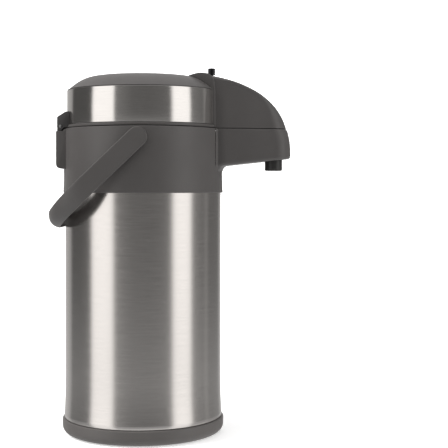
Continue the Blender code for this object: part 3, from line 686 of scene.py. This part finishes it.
def make_collar():
    """Collar's wall, with its ledge over the bottle and the openings into the spout."""
    low = COLLAR_LOW.z
    edge = 0.0008
    ledge = 0.2575
    inside = COLLAR_RADIUS - SKIN
    outline = arc((COLLAR_RADIUS - edge, SEAM_FOOT - edge), edge, 90, 0, 4)
    outline += [(COLLAR_RADIUS, 0.2620), (COLLAR_RADIUS + 0.0001, 0.2500)]
    outline += [(COLLAR_RADIUS + 0.0004, low + 0.0030), (COLLAR_RADIUS + 0.0006, low + 0.0008)]
    outline += [(COLLAR_RADIUS + 0.0003, low), (0.0779, low), (0.0777, ledge), (0.0385, ledge)]
    outline += [(0.0385, ledge + 0.0025), (inside - 0.002, ledge + 0.0025)]
    outline += [(inside, 0.2620), (inside, SEAM_FOOT)]
    wall = revolve("collar_wall", outline, closed=True)
    carve(wall, block(CHEEK_FRONT, 0.0900, 0.2640, 0.32, 0.0320))
    carve(wall, block(0.066, 0.0802, 0.2860, 0.31, 0.0085))
    bevelled(wall, 0.0004, 2, 35)
    dress(wall, "bottle", ["collar"], PLASTIC)


def make_bosses():
    """Round pads on the collar that the handle's studs turn in."""
    outline = [(0, 0.0799), (0.0071, 0.0799), (0.0075, 0.0795), (0.0075, 0.0765), (0, 0.0765)]
    for name, side in (("pivot_boss_near", -1), ("pivot_boss_far", 1)):
        dress(facing_side(name, outline, 48, side), "bottle", ["collar"], PLASTIC)


def make_bracket():
    """Bracket behind the collar and the knuckle that holds the hinge's pin."""
    rear = COLLAR_LOW.x
    side = [(-0.0700, 0.2998), (-0.0752, 0.2998), (-0.0760, 0.2990), (-0.0764, 0.2979), (rear, 0.2978),
            (rear, 0.2660)]
    side += arc((rear + 0.0045, 0.2655), 0.0045, 190, 262, 5)
    side += [(-0.0700, 0.2600)]
    bracket = bevelled(extrude("hinge_bracket", side, HINGE_HALF), 0.0010)
    carve(bracket, drum(0.0768, 0.32, 0.24))
    dress(bracket, "bottle", ["collar"], PLASTIC)

    side = arc((HINGE.x, HINGE.z), 0.0042, 0, 180, 20)
    side += [(HINGE.x - 0.0042, 0.2965), (HINGE.x + 0.0040, 0.2965), (HINGE.x + 0.0042, 0.2990)]
    knuckle = bevelled(extrude("hinge_knuckle", side, 0.0215), 0.0004, 2, 50)
    dress(knuckle, "bottle", ["collar"], HINGE_PLASTIC)


# ---------------------------------------------------------------- lid

def make_dome():
    """Dome ring round the press plate and the lid's wall behind the steel band."""
    line = ((0.0502, 0.3520), (0.0620, 0.3510), (0.0708, 0.3422), (0.0755, 0.3383))
    crest = [tuple(bezier(line, i / 28)) for i in range(2, 28)]
    outline = arc((0.0510, 0.3512), 0.0008, 180, 100, 4) + crest
    outline += arc((0.0748, 0.3388), 0.0006, 20, -80, 4)
    outline += [(LID_WALL, 0.3382), (LID_WALL, 0.3041)]
    outline += [(LID_WALL - SKIN, 0.3041), (LID_WALL - SKIN, 0.3364)]
    outline += [(0.0680, 0.3404), (0.0610, 0.3464), (0.0522, 0.3490), (0.0522, 0.3300), (0.0502, 0.3300)]
    dome = revolve("lid_dome", outline, closed=True, sharp=44)
    carve(dome, tongue_window())
    carve(dome, block(0.0550, 0.0900, CUT_LOW, CUT_HIGH, CHEEK_HALF - 0.0010))
    dress(dome, "lid", ["lid_shell"], PLASTIC)


def make_ears():
    """The lid's rear block, split into two ears beside the knuckle."""
    rear = SHELL_LOW.x
    side = [(rear, 0.3114), (-0.0750, 0.3160), (-0.0736, 0.3168), (-0.0715, 0.3166), (-0.0690, 0.3150),
            (-0.0690, 0.3012), (-0.0758, 0.3012), (-0.0768, 0.2998), (-0.0779, 0.2986), (HINGE.x, 0.2983),
            (-0.0812, 0.2990), (rear, 0.3005)]
    ears = extrude("hinge_ears", side, HINGE_HALF)
    carve(ears, drum(0.0728, 0.33, CUT_LOW))
    room = 0.0047
    top = HINGE.z + 0.0051
    slot = arc((HINGE.x, HINGE.z), room, 0, 90, 10)
    slot += [(HINGE.x - 0.0006, top), (-0.0870, top), (-0.0870, 0.2950), (HINGE.x + room, 0.2950)]
    carve(ears, extrude("slot", slot, 0.0220))
    bevelled(ears, 0.0006, 2, 40)
    dress(ears, "lid", ["lid_shell"], HINGE_PLASTIC)


def make_band():
    """Brushed steel band round the lid, open at the spout's frame and over the hinge."""
    top = BAND_HIGH.z
    low = BAND_LOW.z
    radius = 0.0757
    inner = radius - 0.0009
    outline = rounded([(radius, top), (radius, low), (inner, low), (inner, top)], 0.0003, 3)
    band = revolve("band_wall", outline, steps=FINE * 2, closed=True, sharp=60)
    carve(band, block(0.04, 0.09, CUT_LOW, 0.35, CHEEK_HALF + 0.0003))
    carve(band, block(-0.09, -0.04, CUT_LOW, 0.3172, HINGE_ROOM))
    dress(band, "lid", ["lid_band"], BAND_STEEL)


def make_lid_floor():
    """The lid's floor, whose rounded rim shows under the band, and the air duct below it."""
    radius = 0.0766
    top = RIM_HIGH.z
    bottom = 0.3008
    edge = 0.0007
    outline = [(0, top)] + arc((radius - edge, top - edge), edge, 90, 0, 4)
    outline += arc((radius - edge, bottom + edge), edge, 0, -90, 4)
    outline += [(0.0140, bottom), (0, bottom)]
    floor = revolve("lid_floor", outline)
    tube = rounded([(0.0105, 0.3020), (0.0105, RIM_LOW.z), (0.0045, RIM_LOW.z), (0.0045, 0.3020)], 0.0005)
    duct = revolve("duct", tube, steps=64, closed=True, centre=(-0.012, 0))
    carve(floor, block(0.066, 0.09, CUT_LOW, 0.31, CHEEK_HALF + 0.0002))
    carve(floor, block(-0.09, -0.0738, CUT_LOW, 0.31, HINGE_ROOM))
    dress(floor, "lid", ["lid_base"], PLASTIC)
    dress(duct, "lid", ["lid_base"], INNER_PLASTIC)


def make_plate():
    """Press plate: a slightly crowned disc with a rounded edge and a short skirt."""
    top = 0.3535
    sag = 0.0016
    flat = 0.0476
    outline = []
    for i in range(17):
        outline.append((flat * i / 16, top - sag * (i / 16) ** 2.4))
    outline += arc((0.0480, 0.3500), 0.0018, 80, 0, 6)
    outline += [(0.0498, 0.3400), (0.0482, 0.3400), (0.0482, 0.3488), (0.0430, 0.3499), (0, 0.3508)]
    dress(revolve("press_plate", outline), "press_plate", ["push_plate"], PLASTIC)


def make_knob():
    """Glossy round knob of the lock on its stem."""
    centre = ((KNOB_LOW.x + KNOB_HIGH.x) / 2, (KNOB_LOW.y + KNOB_HIGH.y) / 2)
    radius = (KNOB_HIGH.x - KNOB_LOW.x) / 2
    top = KNOB_HIGH.z
    edge = 0.0009
    foot = 0.3541
    stem = 0.0015
    outline = [(0, top + 0.0001)] + arc((radius - edge, top - edge), edge, 85, 0, 6)
    outline += [(radius, foot + 0.0004), (radius - 0.0004, foot), (stem, foot), (stem, 0.3488), (0, 0.3488)]
    knob = revolve("knob_skin", outline, steps=48, centre=centre)
    dress(knob, "lock", ["lock_knob"], KNOB_BLACK)


def make_nozzle():
    """Near-black outlet with a flange above and a rounded end."""
    low = NOZZLE_LOW.z
    top = 0.2745
    outer = 0.0087
    edge = 0.0014
    outline = [(0.0110, top), (0.0110, top - 0.0020), (outer, top - 0.0020)]
    outline += arc((outer - edge, low + edge), edge, 0, -90, 6)
    outline += [(0.0054, low), (0.0050, low + 0.0004), (0.0050, 0.2625), (0.0062, 0.2637), (0.0062, top)]
    nozzle = revolve("nozzle_skin", outline, steps=64, closed=True, centre=NOZZLE_CENTRE)
    dress(nozzle, "bottle", ["nozzle"], DARK_PLASTIC)


# ---------------------------------------------------------------- handle

def handle_path():
    """Middle line of the strap in its own plane: (distance from the pivots, side), end to end."""
    middle = HANDLE_INSIDE + HANDLE_THICK / 2
    grip = HANDLE_REACH - HANDLE_THICK / 2
    bend = 0.0520 + HANDLE_THICK / 2
    path = []
    for i in range(17):
        angle = math.pi / 2 * (1 - i / 16)
        path.append((-HANDLE_HALF * math.sin(angle), middle))
    for i in range(1, 11):
        path.append(((grip - bend) * i / 10, middle))
    path += arc((grip - bend, middle - bend), bend, 90, 0, 44)[1:]
    for i in range(1, 7):
        path.append((grip, (middle - bend) * (1 - i / 6)))
    return path + [(t, -y) for t, y in reversed(path[:-1])]


def strap_section(t, facing):
    """Points (outward, upward) round the strap at a distance from the pivots.

    facing is 0 on the legs and 1 on the grip, where the outer face is crowned, the lower edge is
    thinned and the upper edge draws in a little.
    """
    thick = HANDLE_THICK / 2
    crown = HANDLE_CROWN * facing ** 1.5
    beyond = max(t + facing * thick - crown - HANDLE_REACH + HANDLE_HALF, -min(t, 0.0))
    lower = math.sqrt(max(HANDLE_HALF ** 2 - beyond ** 2, 0.0)) + 0.0002
    upper = HANDLE_HALF - 0.0012 * facing ** 2 if t > 0 else lower
    edge = min(0.0010, lower * 0.9)
    ring = []
    for quarter, (side, end) in enumerate(((1, 1), (-1, 1), (-1, -1), (1, -1))):
        centre = (side * (thick - edge), upper - edge if end > 0 else edge - lower)
        ring += arc(centre, edge, 90 * quarter, 90 * quarter + 90, 4)
        if side != end:
            start, stop = (upper - edge, edge - lower) if side < 0 else (edge - lower, upper - edge)
            ring += [(side * thick, mix(start, stop, k / 9)) for k in range(1, 9)]
    section = []
    for depth, height in ring:
        if height < 0:
            depth -= crown * (height / lower) ** 2
        elif depth > 0:
            depth -= 0.65 * crown * (height / upper) ** 2
        section.append((depth, height))
    return section


def make_strap():
    """Carrying strap: a flat band bent to a U, hanging behind the bottle at its slope."""
    along = Vector((-math.cos(HANDLE_SLOPE), 0, -math.sin(HANDLE_SLOPE)))
    across = Vector((0, 1, 0))
    normal = Vector((math.sin(HANDLE_SLOPE), 0, -math.cos(HANDLE_SLOPE)))
    path = handle_path()
    rows = []
    for i, (t, y) in enumerate(path):
        behind = Vector(path[max(i - 1, 0)])
        ahead = Vector(path[min(i + 1, len(path) - 1)])
        tangent = (ahead - behind).normalized()
        out = Vector((-tangent.y, tangent.x))
        points = []
        for depth, height in strap_section(t, max(out.x, 0.0)):
            spot = Vector((t, y)) + out * depth
            point = PIVOT + along * spot.x + across * spot.y + normal * height
            # the lower edge of the grip follows the bottle's wall, just clear of it
            away = math.hypot(point.x, point.y)
            if away < HANDLE_CLEAR:
                point.x *= HANDLE_CLEAR / away
                point.y *= HANDLE_CLEAR / away
            points.append(point)
        rows.append(points)
    strap = grid("carrying_handle", rows, cap=True, sharp=50)
    dress(strap, "handle", ["handle_bail"], PLASTIC)


def make_studs():
    """Studs that hold the strap's ends in the collar."""
    outline = [(0, 0.0810), (0.0040, 0.0810), (0.0040, 0.0731), (0.0037, 0.0728), (0, 0.0728)]
    for name, side in (("handle_stud_near", -1), ("handle_stud_far", 1)):
        dress(facing_side(name, outline, 32, side), "handle", ["handle_bail"], PLASTIC)


# ---------------------------------------------------------------- inner pieces

def finish_cad_nodes():
    """Give each piece that keeps its CAD shape its material and smooth shading."""
    looks = {
        "base_pad": RUBBER, "shell_bottom": INNER_STEEL, "shell_shoulder": INNER_STEEL,
        "inner_liner": INNER_STEEL, "mouth_ring": INNER_PLASTIC, "mouth_seal": SILICONE,
        "stopper": INNER_PLASTIC, "stopper_seal": SILICONE, "siphon_tube": INNER_STEEL,
        "discharge_pipe": INNER_PLASTIC, "elbow_seal": SILICONE, "nozzle_seal": SILICONE,
        "hinge_pin": PIN_STEEL, "valve_flap": SILICONE, "duct_gasket": SILICONE,
        "lid_catch": INNER_PLASTIC, "push_post": INNER_PLASTIC, "vent_seal": SILICONE,
        "bellows_cap": INNER_PLASTIC, "bellows_ring": INNER_PLASTIC,
        "lock_slider": INNER_PLASTIC, "handle_clip_near": INNER_STEEL,
        "handle_clip_far": INNER_STEEL, "lid_screw_1": INNER_STEEL, "lid_screw_2": INNER_STEEL,
        "lid_screw_3": INNER_STEEL, "lid_screw_4": INNER_STEEL,
    }
    for name, look in looks.items():
        obj = nodes[name]
        obj.data.materials.clear()
        obj.data.materials.append(look)
        weld = obj.modifiers.new("weld", "WELD")
        weld.merge_threshold = 0.00001
        obj.data.shade_smooth()


def close_with_plate(obj):
    """Give a piece of the pump its own copy of its mesh."""
    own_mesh(obj)


def make_bellows():
    """Rubber pump bellows with rounded pleats and a flat foot."""
    foot = BELLOWS_LOW.z
    top = BELLOWS_HIGH.z
    valley = 0.0316
    ridge = 0.0386
    folds = 4
    low = foot + 0.0024
    high = top - 0.0016
    wall = []
    for i in range(16 * folds + 1):
        share = i / (16 * folds)
        swell = 0.5 - 0.5 * math.cos(2 * math.pi * folds * share)
        wall.append((mix(valley, ridge, swell), mix(high, low, share)))
    skin = 0.0005
    flange = 0.0443
    outline = [(0.0290, top), (valley + skin, top)] + [(r + skin, z) for r, z in wall]
    outline += [(0.0345, foot + 0.0015), (flange, foot + 0.0015), (flange, foot), (0.0300, foot)]
    outline += [(r - skin, z) for r, z in reversed(wall)] + [(0.0290, high)]
    bellows = revolve("pump_bellows", outline, steps=MEDIUM, closed=True, sharp=50)
    dress(bellows, "lid", ["bellows"], SILICONE)
    close_with_plate(bellows)


def make_spring():
    """Round wire coil that lifts the press plate."""
    low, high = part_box("return_spring")
    wire = 0.0009
    radius = high.x - wire
    turns = 5
    around = 48
    steps = around * turns
    rows = []
    for i in range(steps + 1):
        angle = 2 * math.pi * i / around
        height = mix(low.z + wire, high.z - wire, i / steps)
        ring = []
        for reach, rise in arc((radius, height), wire, 0, 330, 11):
            ring.append((reach * math.cos(angle), reach * math.sin(angle), rise))
        rows.append(ring)
    spring = grid("lift_spring", rows, cap=True, sharp=60)
    dress(spring, "lid", ["return_spring"], INNER_STEEL)
    close_with_plate(spring)


# ---------------------------------------------------------------- studio

# The room's ring of tones as (compass angle from the camera's side, brightness): two tall soft
# boxes, black cards beyond them and white paper behind.
ROOM_RING = (
    (-180, 0.75), (-150, 0.52), (-131, 0.42), (-125, 0.10), (-80, 0.10), (-75, 1.48), (-42, 1.48),
    (-38, 0.24), (-12, 0.15), (12, 0.14), (44, 0.17), (50, 1.48), (76, 1.48), (81, 0.24),
    (104, 0.17), (110, 0.32), (116, 0.15), (150, 0.17), (158, 0.40), (180, 0.75),
)
# Tones laid over the ring as (from and to height of the direction, share of the tone, tone): the
# white table seen low down, what lies under it, and the ceiling.
ROOM_LEVELS = ((-0.035, -0.240, 0.30, 0.42), (-0.300, -0.800, 0.90, 0.45), (0.350, 0.850, 1.00, 0.40))
# Suns as (name, power, compass angle, height), both in degrees
LIGHTS = (("key_light", 2.7, -82, 46), ("fill_light", 1.1, 84, 14))
WARM_WHITE = (1.0, 0.985, 0.97)


def make_floor():
    """Studio paper: a round floor that sweeps up to a wall on every side."""
    sweep = [(0.0, 0.0), (1.5, 0.0)] + arc((4.0, 2.0), 2.0, -90, 0, 30) + [(6.0, 7.0)]
    floor = revolve("studio_floor", sweep, steps=64, sharp=180)
    floor.data.materials.append(pale_floor())
    floor.visible_shadow = False
    floor.visible_glossy = False
    floor.visible_diffuse = False


def make_world():
    """The room that the airpot mirrors, drawn by direction."""
    world = bpy.data.worlds.new("studio")
    bpy.context.scene.world = world
    world.use_nodes = True
    room = Tree(world.node_tree)
    room.tree.nodes.clear()
    parts = room.parts(room.node("ShaderNodeTexCoord").outputs["Generated"])
    angle = room.maths("ARCTAN2", parts["X"], room.maths("MULTIPLY", parts["Y"], -1.0))
    ramp = room.node("ShaderNodeValToRGB")
    room.feed(room.spread(angle, 0.0, 1.0, -math.pi, math.pi), ramp.inputs[0])
    while len(ramp.color_ramp.elements) < len(ROOM_RING):
        ramp.color_ramp.elements.new(0.5)
    for element, (degrees, level) in zip(ramp.color_ramp.elements, ROOM_RING):
        element.position = (degrees + 180) / 360
        element.color = (*(level * channel / 2 for channel in WARM_WHITE), 1.0)
    light = ramp.outputs["Color"]
    for start, end, share, tone in ROOM_LEVELS:
        cover = room.spread(parts["Z"], 0.0, share, start, end, "SMOOTHSTEP")
        light = room.blend(cover, light, (tone, tone, tone, 1.0))
    back = room.node("ShaderNodeBackground")
    room.feed(light, back.inputs["Color"])
    room.feed(2.0, back.inputs["Strength"])
    room.feed(back.outputs[0], room.node("ShaderNodeOutputWorld").inputs[0])


def make_lights():
    """Soft key light from the upper left and a weaker one from the right, for the plastics."""
    for name, power, azimuth, elevation in LIGHTS:
        lamp = bpy.data.lights.new(name, "SUN")
        lamp.energy = power
        lamp.angle = math.radians(24)
        lamp.color = (1.0, 0.985, 0.975)
        source = bpy.data.objects.new(name, lamp)
        turn = math.radians(azimuth)
        rise = math.radians(elevation)
        level = math.cos(rise)
        towards = Vector((math.sin(turn) * level, -math.cos(turn) * level, math.sin(rise)))
        source.rotation_mode = "QUATERNION"
        source.rotation_quaternion = towards.to_track_quat("Z", "Y")
        source.visible_glossy = False
        bpy.context.scene.collection.objects.link(source)


def make_camera():
    """Level camera in front of the airpot's near side, shifted down to frame it as the photo does."""
    camera = bpy.data.cameras.new("camera")
    camera.sensor_width = 36.0
    camera.lens = 89.5
    camera.shift_y = -0.0813
    eye = bpy.data.objects.new("camera", camera)
    eye.location = (0.0806, -1.114, 0.2424)
    eye.rotation_euler = (math.pi / 2, 0, 0)
    bpy.context.scene.collection.objects.link(eye)
    bpy.context.scene.camera = eye
    bpy.context.scene.view_settings.view_transform = "Standard"


make_base()
make_body()
make_collar()
make_bosses()
make_bracket()
make_trough()
make_dome()
make_cover()
make_cheek()
make_ears()
make_band()
make_lid_floor()
make_plate()
make_knob()
make_nozzle()
make_strap()
make_studs()
make_bellows()
make_spring()
finish_cad_nodes()
make_floor()
make_world()
make_lights()
make_camera()
